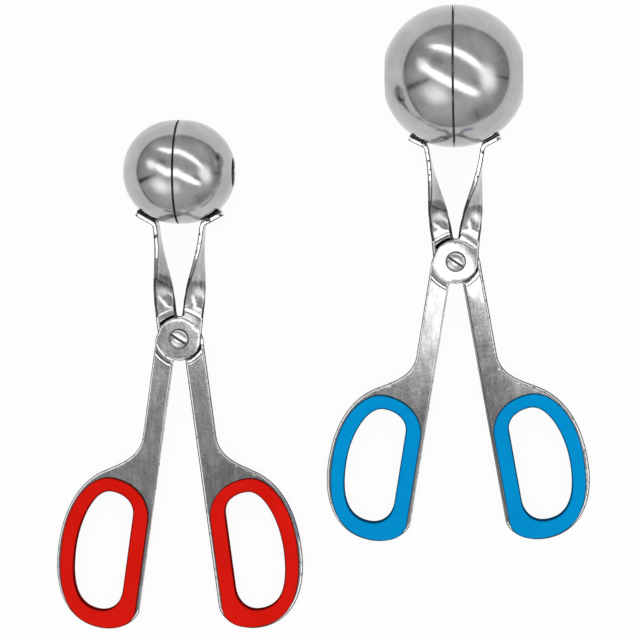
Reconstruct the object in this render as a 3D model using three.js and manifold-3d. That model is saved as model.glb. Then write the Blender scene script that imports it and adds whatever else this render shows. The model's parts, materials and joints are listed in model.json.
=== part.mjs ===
// A set of two meatball tongs, lying flat and closed: the large one with blue
// grips and the small one with red grips. Millimetres, +Z up, +Y towards the
// balls, origin under the middle of the set on the table.
//
// Each tongs is built flat in its own frame: pivot at the origin, +Y towards
// the ball, +Z towards the screw head. The front arm runs from the lower left
// handle to the upper right cup. The back arm is the same stamping with a
// slightly shorter handle, turned half a turn about Y.

import * as THREE from 'three';
import { mergeVertices } from 'three/addons/utils/BufferGeometryUtils.js';
import Module from 'manifold-3d';

const wasm = await Module();
wasm.setup();

// Sizes that both tongs share.
const sheet = 1.6;              // thickness of the stamped arms
const seatGap = 0.3;            // clearance where a piece sits on its neighbour
const plateGap = 0.25;          // clearance between the plates on the pivot
const overrun = 2;              // how far a cutter runs past what it cuts
const joinLap = 0.5;            // how far two lengths of one arm overlap

const discRadius = 8.05;        // round of each arm at the pivot
const joggleInner = 8.6;        // bend circles of the step between disc and arm
const joggleOuter = 11.1;
const hatRadius = 19;           // flat round the step that the arm is cut from
const shankWidth = 7.6;
const shankOffset = 1;          // inner edge of the shank to the pivot
const shankTop = 15.7;          // start of the flat shank below the pivot
const shankShoulder = 1;        // outer corner of the shank beside the disc
const rootDepth = 5;            // how far necks and shanks reach into the disc

const neckWidth = 7.75;
const neckStart = 11.7;         // start of the twisted strip above the pivot
const twistStart = 11.5;
const twistLength = 28.5;
const bendRadius = 2;           // middle radius of the bend below the ball
const tipRadius = 1.6;          // rounded corners of the tab

const loopWidth = 33.4;         // steel handle loop, outside
const gripRim = 1.3;            // steel that shows beside the grip
const gripHem = 0.6;            // steel that shows below the grip
const gripBandInner = 5.8;      // widths of the plastic ring
const gripBandOuter = 5.3;
const gripBandTop = 5;
const gripBandBottom = 6.4;
const gripDepth = 5.2;
const gripWeb = 1.6;            // plastic left inside the groove for the steel

const cupWall = 0.7;
const seam = 0.4;               // gap between the rims of the closed cups

const screwRadius = 2;
const headRadius = 3.6;
const headHeight = 1.5;
const headEdge = 0.6;           // straight side of the head below its dome
const slotWidth = 1.2;
const slotDepth = 0.8;
const nutAcross = 7;
const nutHeight = 2.2;
const screwEnd = 0.4;           // thread that stands out of the nut
const washerRadius = 7;
const washerThickness = 0.5;

// Sizes of each tongs.
const large = {
  name: 'large',
  cupRadius: 25.3,
  cupLip: 0.4,                  // straight rim of each half ball
  ventRadius: 8.1,
  ballReach: 66.3,              // pivot to the middle of the ball
  neckFoot: 5.35,               // middle of the neck beside the pivot line
  tabSlope: 27.5,               // degrees from square to the tongs
  tabInner: 3,                  // weld to the bend
  tabOuter: 4.1,                // weld to the tip
  shankAngle: 9.65,             // degrees
  frontReach: 107.1,            // pivot to the end of the front arm's loop
  backReach: 106.3,
  slotTurn: -35,                // degrees
  lean: 0.38,                   // degrees, turned on the table
  grip: '#008fd0',
};
const small = {
  name: 'small',
  cupRadius: 18.8,
  cupLip: 1.55,
  ventRadius: 5.3,
  ballReach: 60.8,
  neckFoot: 5.25,
  tabSlope: 28.85,
  tabInner: 3.1,
  tabOuter: 5,
  shankAngle: 7.8,
  frontReach: 111.7,
  backReach: 110.1,
  slotTurn: -32,
  lean: -0.77,
  grip: '#d61c12',
};
const setSpacing = { across: 101, along: 28 };  // large pivot from the small one

// Curves of the handle. Each row is a pull away from the last point, a pull
// towards the next one, and that next point, as [across, along].
// Steel: across in shares of loopWidth, along in shares of the arm's reach.
const heelStartShare = 0.912;
const flareEndShare = 0.3385;
const flarePullShare = 0.418;
const heelShares = [[0, 0.957], [0.176, 1], [0.396, 1]];
const bellyShares = [[0.77, 1], [1, 0.905], [1, 0.75]];
const browShares = [[1, 0.594], [0.814, 0.515], [0.626, 0.4774]];
const flareFirstShare = [0.462, 0.444];
// Grip and finger hole: shares of their own width and length.
const gripTopShare = 0.4915;    // of the arm's reach
const gripStartShare = [0, 0.257];
const gripShares = [
  [[0, 0.8525]],
  [[0, 0.947], [0.171, 1], [0.3755, 1]],
  [[0.7726, 1], [1, 0.839], [1, 0.4736]],
  [[1, 0.203], [0.7726, 0], [0.508, 0]],
  [[0.219, 0], [0, 0.108], [0, 0.257]],
];
const holeStartShare = [0, 0.173];
const holeShares = [
  [[0, 0.7965]],
  [[0, 0.918], [0.162, 1], [0.389, 1]],
  [[0.785, 1], [1, 0.857], [1, 0.5195]],
  [[1, 0.26], [0.766, 0], [0.464, 0]],
  [[0.2, 0], [0, 0.069], [0, 0.173]],
];
const twistPowerShare = 0.95;   // how quickly the twist sets in

// Fineness of the round shapes.
const cupSegments = 32;
const cupSteps = 7;
const discSegments = 32;
const screwSegments = 20;
const curveSteps = 8;
const twistSteps = 9;
const bendSteps = 4;
const tipSteps = 3;

// Worked out from the sizes above.
const half = sheet / 2;
const discLift = washerThickness / 2 + plateGap + half;
const boreRadius = screwRadius + seatGap;
const joggleMitre = half * Math.tan(Math.atan2(discLift, joggleOuter - joggleInner) / 2);
const plateTop = discLift + half;

const radians = THREE.MathUtils.degToRad;

// Solids.
function solidOf(geometry) {
  const bare = geometry.index ? geometry.toNonIndexed() : geometry.clone();
  bare.deleteAttribute('normal');
  bare.deleteAttribute('uv');
  const merged = mergeVertices(bare);
  return new wasm.Manifold(new wasm.Mesh({
    numProp: 3,
    vertProperties: new Float32Array(merged.attributes.position.array),
    triVerts: new Uint32Array(merged.index.array),
  }));
}

function geometryOf(solid) {
  const mesh = solid.getMesh();
  const geometry = new THREE.BufferGeometry();
  geometry.setAttribute('position', new THREE.BufferAttribute(mesh.vertProperties, 3));
  geometry.setIndex(new THREE.BufferAttribute(mesh.triVerts, 1));
  return geometry;
}

function slab(shape, low, high, steps = curveSteps) {
  const geometry = new THREE.ExtrudeGeometry(shape, {
    depth: high - low,
    bevelEnabled: false,
    curveSegments: steps,
  });
  return geometry.translate(0, 0, low);
}

// A closed profile of [radius, height] pairs, turned about Z.
function turned(profile, segments) {
  const points = [...profile, profile[0]].map(([r, z]) => new THREE.Vector2(r, z));
  return new THREE.LatheGeometry(points, segments).rotateX(Math.PI / 2);
}

function polygon(points) {
  return new THREE.Shape(points.map(([x, y]) => new THREE.Vector2(x, y)));
}

// Skin over a row of rings with as many corners each, closed at both ends. The
// corners go round counter-clockwise for an eye that the rings move towards.
function loft(rings) {
  const count = rings[0].length;
  const positions = rings.flat().flatMap((p) => [p.x, p.y, p.z]);
  const faces = [];
  for (let k = 0; k + 1 < rings.length; k += 1) {
    for (let i = 0; i < count; i += 1) {
      const j = (i + 1) % count;
      const a = k * count;
      const b = a + count;
      faces.push(a + i, a + j, b + j, a + i, b + j, b + i);
    }
  }
  const end = (rings.length - 1) * count;
  for (let i = 1; i + 1 < count; i += 1) {
    faces.push(0, i + 1, i, end, end + i, end + i + 1);
  }
  const geometry = new THREE.BufferGeometry();
  geometry.setAttribute('position', new THREE.Float32BufferAttribute(positions, 3));
  geometry.setIndex(faces);
  return geometry;
}

// Outlines, all counter-clockwise.
function curvedShape(place, start, rows) {
  const path = new THREE.Path();
  path.moveTo(...place(start));
  for (const row of rows) {
    const points = row.map(place);
    if (points.length === 1) path.lineTo(...points[0]);
    else path.bezierCurveTo(...points[0], ...points[1], ...points[2]);
  }
  const points = path.getPoints(curveSteps);
  if (points[0].equals(points[points.length - 1])) points.pop();
  if (THREE.ShapeUtils.isClockWise(points)) points.reverse();
  return new THREE.Shape(points);
}

// Moves a closed outline outwards by the same distance all round.
function widened(shape, distance) {
  const points = shape.getPoints();
  return new THREE.Shape(points.map((p, i) => {
    const before = points[(i + points.length - 1) % points.length];
    const after = points[(i + 1) % points.length];
    const along = after.clone().sub(before).normalize();
    return new THREE.Vector2(p.x + distance * along.y, p.y - distance * along.x);
  }));
}

// Frames of one tongs. The shank frame has its along axis on the inner edge of
// the front arm's shank, downwards, and its across axis outwards. The neck frame
// has its along axis through the pivot, parallel to the neck's middle line.
function shankPlace(spec) {
  const turn = radians(spec.shankAngle);
  return ([across, along]) => {
    const out = shankOffset + across;
    return [
      -out * Math.cos(turn) - along * Math.sin(turn),
      out * Math.sin(turn) - along * Math.cos(turn),
    ];
  };
}

// The round of each half ball starts behind its straight rim.
function cupBase(spec) {
  return seam / 2 + spec.cupLip;
}

function neckFrame(spec) {
  const slope = radians(spec.tabSlope);
  const reach = spec.cupRadius + seatGap + half;
  const weld = new THREE.Vector2(
    cupBase(spec) + reach * Math.sin(slope),
    spec.ballReach - reach * Math.cos(slope),
  );
  const tab = new THREE.Vector2(Math.cos(slope), Math.sin(slope));
  const bend = weld.clone().addScaledVector(tab, -spec.tabInner);
  const foot = new THREE.Vector2(spec.neckFoot, neckStart);
  const along = bend.clone().sub(foot).normalize();
  const across = new THREE.Vector2(along.y, -along.x);
  return { weld, tab, bend, along, across, offset: foot.dot(across) };
}

function neckPlace(spec) {
  const { along, across } = neckFrame(spec);
  return ([q, p]) => [q * across.x + p * along.x, q * across.y + p * along.y];
}

function loopOutline(spec, reach, top) {
  const place = shankPlace(spec);
  const at = ([across, along]) => place([across * loopWidth, along * reach]);
  const shankShare = shankWidth / loopWidth;
  const topShare = top / reach;
  return curvedShape(at, [0, topShare], [
    [[0, heelStartShare]],
    heelShares,
    bellyShares,
    browShares,
    [flareFirstShare, [shankShare, flarePullShare], [shankShare, flareEndShare]],
    [[shankShare, topShare]],
  ]);
}

function gripBox(reach) {
  return {
    left: gripRim,
    right: loopWidth - gripRim,
    top: gripTopShare * reach,
    bottom: reach - gripHem,
  };
}

function boxedOutline(spec, box, start, rows) {
  const place = shankPlace(spec);
  const at = ([across, along]) => place([
    box.left + across * (box.right - box.left),
    box.top + along * (box.bottom - box.top),
  ]);
  return curvedShape(at, start, rows);
}

function gripOutline(spec, reach) {
  return boxedOutline(spec, gripBox(reach), gripStartShare, gripShares);
}

function holeOutline(spec, reach) {
  const box = gripBox(reach);
  const hole = {
    left: box.left + gripBandInner,
    right: box.right - gripBandOuter,
    top: box.top + gripBandTop,
    bottom: box.bottom - gripBandBottom,
  };
  return boxedOutline(spec, hole, holeStartShare, holeShares);
}

// Arms.
// Sheet with a raised disc, a sloping step and a flat brim, bored for the screw.
function pressedHat() {
  return solidOf(turned([
    [boreRadius, discLift - half],
    [joggleInner - joggleMitre, discLift - half],
    [joggleOuter - joggleMitre, -half],
    [hatRadius, -half],
    [hatRadius, half],
    [joggleOuter + joggleMitre, half],
    [joggleInner + joggleMitre, discLift + half],
    [boreRadius, discLift + half],
  ], discSegments));
}

// The arm seen flat near the pivot: disc, root of the neck and root of the shank.
function rootPrism(spec) {
  const frame = neckFrame(spec);
  const inner = frame.offset - neckWidth / 2;
  const outer = frame.offset + neckWidth / 2;
  const neck = [
    [inner, rootDepth],
    [outer, rootDepth],
    [outer, neckStart + joinLap],
    [inner, neckStart + joinLap],
  ].map(neckPlace(spec));
  const shank = [
    [0, rootDepth],
    [0, shankTop + joinLap],
    [shankWidth, shankTop + joinLap],
    [shankWidth, shankShoulder],
    [shankWidth / 2, -shankShoulder],
  ].map(shankPlace(spec));
  const disc = new THREE.Shape().absarc(0, 0, discRadius, 0, Math.PI * 2);
  const tall = discLift + sheet;
  return solidOf(slab(disc, -tall, tall, discSegments / 2))
    .add(solidOf(slab(polygon(neck), -tall, tall)))
    .add(solidOf(slab(polygon(shank), -tall, tall)));
}

function flatHandle(spec, reach) {
  const shape = loopOutline(spec, reach, shankTop);
  shape.holes.push(widened(holeOutline(spec, reach), gripWeb + seatGap));
  return solidOf(slab(shape, -half, half));
}

// Middle line of the neck and tab, each point with its direction and twist.
function neckStations(spec) {
  const frame = neckFrame(spec);
  const turn = Math.acos(frame.along.dot(frame.tab));
  const trim = bendRadius * Math.tan(turn / 2);
  const bendAlong = frame.bend.dot(frame.along);
  const stations = [];
  const add = (point, direction, along, width = neckWidth) => {
    const share = THREE.MathUtils.clamp((along - twistStart) / twistLength, 0, 1);
    const twist = (Math.PI / 2) * Math.sin((Math.PI / 2) * share) ** twistPowerShare;
    const flat = along <= neckStart + joinLap;
    stations.push({ point, direction, twist: flat ? 0 : twist, width });
  };
  const onNeck = (p) => frame.bend.clone().addScaledVector(frame.along, p - bendAlong);
  add(onNeck(neckStart), frame.along, neckStart);
  const first = neckStart + joinLap;
  const last = bendAlong - trim;
  for (let k = 0; k <= twistSteps; k += 1) {
    const p = first + (last - first) * k / twistSteps;
    add(onNeck(p), frame.along, p);
  }
  const centre = onNeck(last).addScaledVector(frame.across, bendRadius);
  for (let k = 1; k <= bendSteps; k += 1) {
    const angle = turn * k / bendSteps;
    const direction = frame.along.clone().multiplyScalar(Math.cos(angle))
      .addScaledVector(frame.across, Math.sin(angle));
    const point = centre.clone().addScaledVector(frame.across, -bendRadius * Math.cos(angle))
      .addScaledVector(frame.along, bendRadius * Math.sin(angle));
    add(point, direction, bendAlong);
  }
  for (let k = 0; k <= tipSteps; k += 1) {
    const angle = (Math.PI / 2) * k / tipSteps;
    const reach = spec.tabOuter - tipRadius + tipRadius * Math.sin(angle);
    const width = neckWidth - 2 * tipRadius * (1 - Math.cos(angle));
    add(frame.weld.clone().addScaledVector(frame.tab, reach), frame.tab, bendAlong, width);
  }
  return stations;
}

// The neck turns a quarter turn on its way up, its left edge coming forward.
function twistedNeck(spec) {
  const rings = neckStations(spec).map(({ point, direction, twist, width }) => {
    const square = new THREE.Vector3(direction.y, -direction.x, 0);
    const middle = new THREE.Vector3(point.x, point.y, 0);
    const wide = square.clone().multiplyScalar(Math.cos(twist));
    wide.z -= Math.sin(twist);
    const thick = square.clone().multiplyScalar(Math.sin(twist));
    thick.z += Math.cos(twist);
    return [[-1, -1], [-1, 1], [1, 1], [1, -1]].map(([w, t]) => middle.clone()
      .addScaledVector(wide, w * width / 2)
      .addScaledVector(thick, t * half));
  });
  return solidOf(loft(rings));
}

function armGeometry(spec, reach) {
  const root = pressedHat().intersect(rootPrism(spec));
  return geometryOf(root.add(flatHandle(spec, reach)).add(twistedNeck(spec)));
}

// Half ball, open towards the other one, with a round vent at its pole.
function cupGeometry(spec) {
  const inner = spec.cupRadius - cupWall;
  const base = cupBase(spec);
  const arc = (radius, back) => {
    const end = Math.acos(spec.ventRadius / radius);
    return Array.from({ length: cupSteps + 1 }, (_, k) => {
      const angle = end * (back ? cupSteps - k : k) / cupSteps;
      return [radius * Math.cos(angle), base + radius * Math.sin(angle)];
    });
  };
  const profile = [
    [spec.cupRadius, seam / 2],
    ...arc(spec.cupRadius, false),
    ...arc(inner, true),
    [inner, seam / 2],
  ];
  return turned(profile, cupSegments).rotateY(Math.PI / 2).translate(0, spec.ballReach, 0);
}

// Plastic ring, grooved all round its outside for the edge of the steel loop.
function gripGeometry(spec, reach) {
  const ring = gripOutline(spec, reach);
  ring.holes.push(holeOutline(spec, reach));
  const groove = widened(gripOutline(spec, reach), overrun);
  groove.holes.push(widened(holeOutline(spec, reach), gripWeb));
  const cut = half + seatGap;
  return geometryOf(solidOf(slab(ring, -gripDepth / 2, gripDepth / 2))
    .subtract(solidOf(slab(groove, -cut, cut))));
}

// Pivot.
function screwGeometry(spec) {
  const seat = plateTop + plateGap;
  const tail = -plateTop - plateGap - nutHeight - screwEnd;
  const dome = headHeight - headEdge;
  const domeSteps = 4;
  const profile = [[0, tail], [screwRadius, tail], [screwRadius, seat], [headRadius, seat]];
  for (let k = 0; k <= domeSteps; k += 1) {
    const angle = (Math.PI / 2) * k / domeSteps;
    profile.push([headRadius * Math.cos(angle), seat + headEdge + dome * Math.sin(angle)]);
  }
  profile[profile.length - 1][0] = 0;
  const slot = new THREE.BoxGeometry(2 * headRadius + overrun, slotWidth, slotDepth + overrun)
    .translate(0, 0, seat + headHeight - slotDepth + (slotDepth + overrun) / 2)
    .rotateZ(radians(spec.slotTurn));
  return geometryOf(solidOf(turned(profile, screwSegments)).subtract(solidOf(slot)));
}

function nutGeometry() {
  const corner = nutAcross / Math.sqrt(3);
  const shape = polygon(Array.from({ length: 6 }, (_, k) => {
    const angle = Math.PI * k / 3;
    return [corner * Math.cos(angle), corner * Math.sin(angle)];
  }));
  shape.holes.push(new THREE.Path().absarc(0, 0, boreRadius, 0, Math.PI * 2));
  const top = -plateTop - plateGap;
  return slab(shape, top - nutHeight, top, screwSegments / 2);
}

function washerGeometry() {
  const thick = washerThickness / 2;
  return turned([
    [boreRadius, -thick], [washerRadius, -thick], [washerRadius, thick], [boreRadius, thick],
  ], discSegments);
}

// Finishes.
const brushedSteel = () => new THREE.MeshStandardMaterial({ color: '#b9b9ba', metalness: 1, roughness: 0.35 });
const polishedSteel = () => new THREE.MeshStandardMaterial({ color: '#c9c9cb', metalness: 1, roughness: 0.12 });
const plastic = (color) => new THREE.MeshStandardMaterial({ color, metalness: 0, roughness: 0.45 });

function named(name, geometry, material) {
  const mesh = new THREE.Mesh(geometry, material);
  mesh.name = name;
  return mesh;
}

// One arm with the cup welded to its tab and the grip pressed into its loop.
function armSide(spec, reach, side, cupSide, gripSide) {
  const group = new THREE.Group();
  group.add(named(`${spec.name}_${side}_arm`, armGeometry(spec, reach), brushedSteel()));
  group.add(named(`${spec.name}_${cupSide}_cup`, cupGeometry(spec), polishedSteel()));
  group.add(named(`${spec.name}_${gripSide}_grip`, gripGeometry(spec, reach), plastic(spec.grip)));
  return group;
}

// Tilt of closed tongs that rest on their ball and on the end of the front grip.
function restTilt(spec) {
  const outline = gripOutline(spec, spec.frontReach).getPoints(curveSteps);
  const lowest = Math.max(...outline.map((p) => -p.y));
  const length = spec.ballReach + lowest;
  const depth = gripDepth / 2;
  return Math.asin(spec.cupRadius / Math.hypot(length, depth)) - Math.atan2(depth, length);
}

function tongs(spec) {
  const flat = new THREE.Group();
  flat.add(armSide(spec, spec.frontReach, 'front', 'right', 'left'));
  const back = armSide(spec, spec.backReach, 'back', 'left', 'right');
  back.rotation.y = Math.PI;
  flat.add(back);
  flat.add(named(`${spec.name}_pivot_screw`, screwGeometry(spec), polishedSteel()));
  flat.add(named(`${spec.name}_pivot_washer`, washerGeometry(), polishedSteel()));
  flat.add(named(`${spec.name}_pivot_nut`, nutGeometry(), polishedSteel()));
  flat.rotation.x = restTilt(spec);
  const placed = new THREE.Group();
  placed.add(flat);
  placed.rotation.z = radians(spec.lean);
  placed.position.z = -new THREE.Box3().setFromObject(placed, true).min.z;
  return placed;
}

const set = new THREE.Group();
const smallTongs = tongs(small);
const largeTongs = tongs(large);
largeTongs.position.x = setSpacing.across;
largeTongs.position.y = setSpacing.along;
set.add(largeTongs, smallTongs);

// Origin under the middle of the whole set, on the table.
const bounds = new THREE.Box3().setFromObject(set, true);
const middle = bounds.getCenter(new THREE.Vector3());
set.position.set(-middle.x, -middle.y, -bounds.min.z);

export default set;
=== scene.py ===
"""A set of two meatball tongs, lying flat and closed on a white table.

Shapes are worked out in millimetres in the frame of one tongs: pivot at the
origin, +Y towards the ball, +Z towards the screw head. Each tongs is then put
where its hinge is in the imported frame.
"""
import json
import math

import bmesh
import bpy
import numpy as np
from mathutils import Matrix, Vector, noise
from mathutils.geometry import delaunay_2d_cdt


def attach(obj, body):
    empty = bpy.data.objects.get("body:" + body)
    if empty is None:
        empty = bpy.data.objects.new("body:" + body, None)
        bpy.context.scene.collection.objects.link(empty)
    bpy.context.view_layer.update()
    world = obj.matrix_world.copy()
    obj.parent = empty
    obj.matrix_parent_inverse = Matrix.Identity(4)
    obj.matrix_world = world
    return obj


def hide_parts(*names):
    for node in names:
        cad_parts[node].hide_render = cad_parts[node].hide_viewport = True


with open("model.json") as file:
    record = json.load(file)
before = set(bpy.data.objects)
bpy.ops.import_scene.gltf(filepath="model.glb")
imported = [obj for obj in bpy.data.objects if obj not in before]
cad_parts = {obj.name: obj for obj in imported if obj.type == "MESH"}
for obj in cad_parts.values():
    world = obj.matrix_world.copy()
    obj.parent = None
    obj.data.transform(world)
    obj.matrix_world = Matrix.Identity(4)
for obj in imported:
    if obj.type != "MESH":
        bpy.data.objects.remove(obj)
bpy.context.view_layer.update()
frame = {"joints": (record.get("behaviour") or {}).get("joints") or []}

MM = 0.001

# Looks of the faces of an arm, by the number of their material. The dark sheared look is
# partly painted shade, the bright burnished look partly painted highlight, and the
# near-black look wholly painted shade.
FACE, SHEARED_AND_SHADE, BURNISH_AND_HIGHLIGHT, PAINTED_SHADE, NICKED = range(5)

# Sizes that both tongs share, in millimetres and degrees.
SHEET = 1.6
HALF = SHEET / 2
# Steps of a stamped edge from the flat face to half thickness: how far out, how far
# down, and its look. Its dark steps are painted shade that draws a dark line along the
# edge, and its bright steps a band that is partly painted highlight.
EDGES = {
    "front": [
        (0.06, 0.01, FACE), (0.13, 0.03, FACE), (0.19, 0.05, FACE),
        (0.20, 0.06, BURNISH_AND_HIGHLIGHT), (0.38, 0.31, BURNISH_AND_HIGHLIGHT), (0.56, 0.57, BURNISH_AND_HIGHLIGHT),
        (0.57, 0.58, SHEARED_AND_SHADE), (0.86, 0.80, SHEARED_AND_SHADE),
    ],
    "back": [
        (0.05, 0.01, FACE), (0.10, 0.03, FACE), (0.22, 0.05, SHEARED_AND_SHADE), (0.23, 0.06, SHEARED_AND_SHADE),
        (0.49, 0.39, BURNISH_AND_HIGHLIGHT), (0.75, 0.73, BURNISH_AND_HIGHLIGHT),
        (0.76, 0.74, SHEARED_AND_SHADE), (1.06, 0.80, SHEARED_AND_SHADE),
    ],
}
# The same steps on the neck, where the edge stays upright: shares of the width, and down.
NECK_EDGE = [
    (0.58, 0.00), (0.70, 0.01), (0.79, 0.04), (0.84, 0.08),
    (0.91, 0.18), (0.95, 0.34), (0.96, 0.36), (1.0, 0.80),
]
NECK_EDGE_ZONE = (13, 19)   # where one edge turns into the other
PLATE_GAP = 0.25
WASHER_RADIUS = 7.0
WASHER_THICKNESS = 0.5
DISC_LIFT = WASHER_THICKNESS / 2 + PLATE_GAP + HALF
PLATE_TOP = DISC_LIFT + HALF
DISC_RADIUS = 8.05
STEP_NECK = (6.9, 9.8)      # start and end of the pressed step, from the pivot towards the neck
STEP_SHANK = {"front": (8.0, 9.8), "back": (7.4, 9.2)}      # and towards the shank
STEP_ARC_NECK = 0.45        # how round the steps are, where 1 is as round as the disc
STEP_ARC_SHANK = 0.8
LINE_DROP = 0.05            # line that the press leaves beyond the step
LINE_START = 0.65           # from the end of the step
LINE_WIDTH = 0.4
TAIL_DROP = 0.03            # how far the sheet still sinks beyond that line
TAIL_SPAN = 0.9
PULL_TURN = math.radians(35)    # direction from the pivot in which the disc's face falls
PULL_START = 0.5
PULL_END = (6.9, 11.0)
STEP_SOFTNESS = 0.27        # half the width of each bend of the step
# Stripes across the step, for the upper side or the underside and for the shank or the
# neck: start and end from the pivot, and look. Its dark stripes are painted shade and
# its bright ones painted highlights of the step's bends.
LARGE_STRIPES = {
    (False, False): [(9.3, 9.55, PAINTED_SHADE), (10.0, 10.4, BURNISH_AND_HIGHLIGHT), (10.75, 11.0, PAINTED_SHADE)],
    (False, True): [(7.15, 7.35, PAINTED_SHADE), (9.85, 10.15, PAINTED_SHADE)],
    (True, False): [(7.9, 8.5, PAINTED_SHADE), (8.65, 9.4, BURNISH_AND_HIGHLIGHT), (9.7, 10.0, PAINTED_SHADE)],
    (True, True): [(7.9, 8.95, PAINTED_SHADE), (9.1, 9.45, BURNISH_AND_HIGHLIGHT), (9.6, 9.8, PAINTED_SHADE)],
}
SMALL_STRIPES = {
    (False, False): [
        (7.75, 8.05, BURNISH_AND_HIGHLIGHT), (9.1, 9.75, PAINTED_SHADE), (10.05, 10.75, BURNISH_AND_HIGHLIGHT), (10.9, 11.1, PAINTED_SHADE),
    ],
    (False, True): [
        (6.5, 7.15, BURNISH_AND_HIGHLIGHT), (7.2, 7.4, PAINTED_SHADE), (9.75, 10.1, PAINTED_SHADE), (10.6, 11.3, BURNISH_AND_HIGHLIGHT),
    ],
    (True, False): [(7.9, 8.6, PAINTED_SHADE), (8.7, 9.4, BURNISH_AND_HIGHLIGHT), (9.7, 9.95, PAINTED_SHADE)],
    (True, True): [(7.9, 8.95, PAINTED_SHADE), (9.1, 9.4, BURNISH_AND_HIGHLIGHT), (10.6, 11.2, BURNISH_AND_HIGHLIGHT)],
}
SHANK_WIDTH = 7.6
SHANK_OFFSET = 1.0
SHANK_MIDDLE = SHANK_OFFSET + SHANK_WIDTH / 2
SHANK_SHOULDER = 1.5
SHANK_ROUND = 1.2
SHANK_STEP = 9              # from the pivot to the middle of the step, along the shank
NECK_WIDTH = 7.75
NECK_FOOT_HEIGHT = 11.7
NECK_SHOULDER = 9.5
NECK_ROUND = 3.0
NOTCH_FILLET = 0.7
# Below GREY_WALL the twisted strip's edge is painted dark as shade; above BRIGHT_WALL it is
# burnished wear brightened as painted highlight.
GREY_WALL = 23.0            # above it the twisted strip's edge is as its face
BRIGHT_WALL = 30.0          # and above this it is burnished, with nicks
WELD_BACK = 0.6             # how far the weld goes back over the tab's bend
WELD_GAP = 0.24             # part of the gap between tab and cup that the weld fills
WELD_FALL = 0.9             # how far it follows the cup, which falls away from the tab
WELD_SIDE = (HALF - 0.40, HALF - 0.05)      # heights between which it sets in
TAB_SHADE_START = 2.5            # from the tab's bend, where the painted shade on the tab's lower edge gets broad
TWIST_START = 11.5
TWIST_LENGTH = 28.5
TWIST_POWER = 0.95
TWIST_ONSET = 1.6           # length over which the twist sets in
WIND = {"large_front": 0.0, "large_back": 4.4, "small_front": 0.0, "small_back": 0.8}    # degrees
WIND_START = (12, 17.5)     # where the shank winds and unwinds, from the pivot
WIND_END = (45, 80)
WIND_WIDTH = 4.5
BEND_RADIUS = 2.0
TIP_RADIUS = 1.6
SEAT_GAP = 0.3

LOOP_WIDTH = 33.4
GRIP_RIM = 1.3
GRIP_HEM = 0.6
GRIP_BAND_INNER = 5.8
GRIP_BAND_OUTER = 5.3
GRIP_BAND_TOP = 5.0
GRIP_BAND_BOTTOM = 6.4
GRIP_DEPTH = 5.2
GRIP_WEB = 1.6
GRIP_ROUND = 0.8
GRIP_CROWN = 0.12
GRIP_PLAY = 0.06            # between the groove and the flat of the steel
HOLE_ROUND = 1.1

CUP_WALL = 0.7
SEAM = 0.4
RIM_ROUND = 0.12
SEAM_SHADE_BAND = 0.22             # width of the cup's rim beside the seam that is painted dark as the seam's shade
DENT = 0.035                # how far the beaten cups are out of round
DENT_SPAN = 17.0

SCREW_RADIUS = 2.0
BORE_RADIUS = SCREW_RADIUS + SEAT_GAP
HEAD_RADIUS = 3.4
HEAD_HEIGHT = 1.5
HEAD_EDGE = 0.6
HEAD_FLANGE = 3.75          # ring round the head, painted dark as the shadow under the head
SLOT_WIDTH = 1.0
SLOT_DEPTH = 0.8
LIP_REACH = 1.3             # how far the slot's worn lips go from its middle
NUT_ACROSS = 7.0
NUT_HEIGHT = 2.2
SCREW_END = 0.4

# Spacing of the points of an arm's mesh.
FINE = 0.22
FINE_REACH = 12.6           # from the pivot, as far as the edge has fine steps
STRIP_STEP = 0.55
COARSE = 1.2
ROW_START = 6.5             # rows of points across the steps
ROW_STEP = 0.15
ROWS = 34
ROW_HALF = 42               # points on each side of a row's middle
RINGS = (3.4, 4.4, 5.4, 6.2, 7.0)
CUP_STEPS = 54

LARGE = {
    "name": "large",
    "joint": "large_pivot",
    "flip": 1,
    "cup_radius": 25.3,
    "cup_lip": 0.4,
    "vent_radius": 8.1,
    "ball_reach": 66.3,
    "neck_foot": 5.35,
    "tab_slope": 27.5,
    "tab_inner": 3.0,
    "tab_outer": 4.1,
    "shank_angle": 9.65,
    "reach": {"front": 107.1, "back": 106.3},
    "slot_turn": -35,
    # Height of the slot's lips at the slot and outside, above and below it.
    "slot_lips": ((-0.06, -0.06), (-0.06, -0.06)),
    "pull": 0.0085,             # how the neck's pull bends the face of the disc
    "stripes": LARGE_STRIPES,
    "grip_slot": "blue_plastic",
    "bodies": {"front": "large_front", "back": "large_back", "screw": "large_front"},
}
SMALL = {
    "name": "small",
    "joint": "small_pivot",
    "flip": -1,
    "cup_radius": 18.8,
    "cup_lip": 1.55,
    "vent_radius": 5.3,
    "ball_reach": 60.8,
    "neck_foot": 5.25,
    "tab_slope": 28.85,
    "tab_inner": 3.1,
    "tab_outer": 5.0,
    "shank_angle": 7.8,
    "reach": {"front": 111.7, "back": 110.1},
    "slot_turn": -32,
    "slot_lips": ((-0.03, -0.10), (-0.10, -0.06)),
    "pull": 0.0012,
    "stripes": SMALL_STRIPES,
    "grip_slot": "red_plastic",
    "bodies": {"front": "small_front", "back": "small_back", "screw": "small_back"},
}

# Curves of the handle, in shares of the loop's width and of the arm's reach.
HEEL_START = 0.912
FLARE_END = 0.3385
FLARE_PULL = 0.418
HEEL = [(0, 0.957), (0.176, 1), (0.396, 1)]
BELLY = [(0.77, 1), (1, 0.905), (1, 0.75)]
BROW = [(1, 0.594), (0.814, 0.515), (0.626, 0.4774)]
FLARE_FIRST = (0.462, 0.444)
GRIP_TOP = 0.4915
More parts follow.
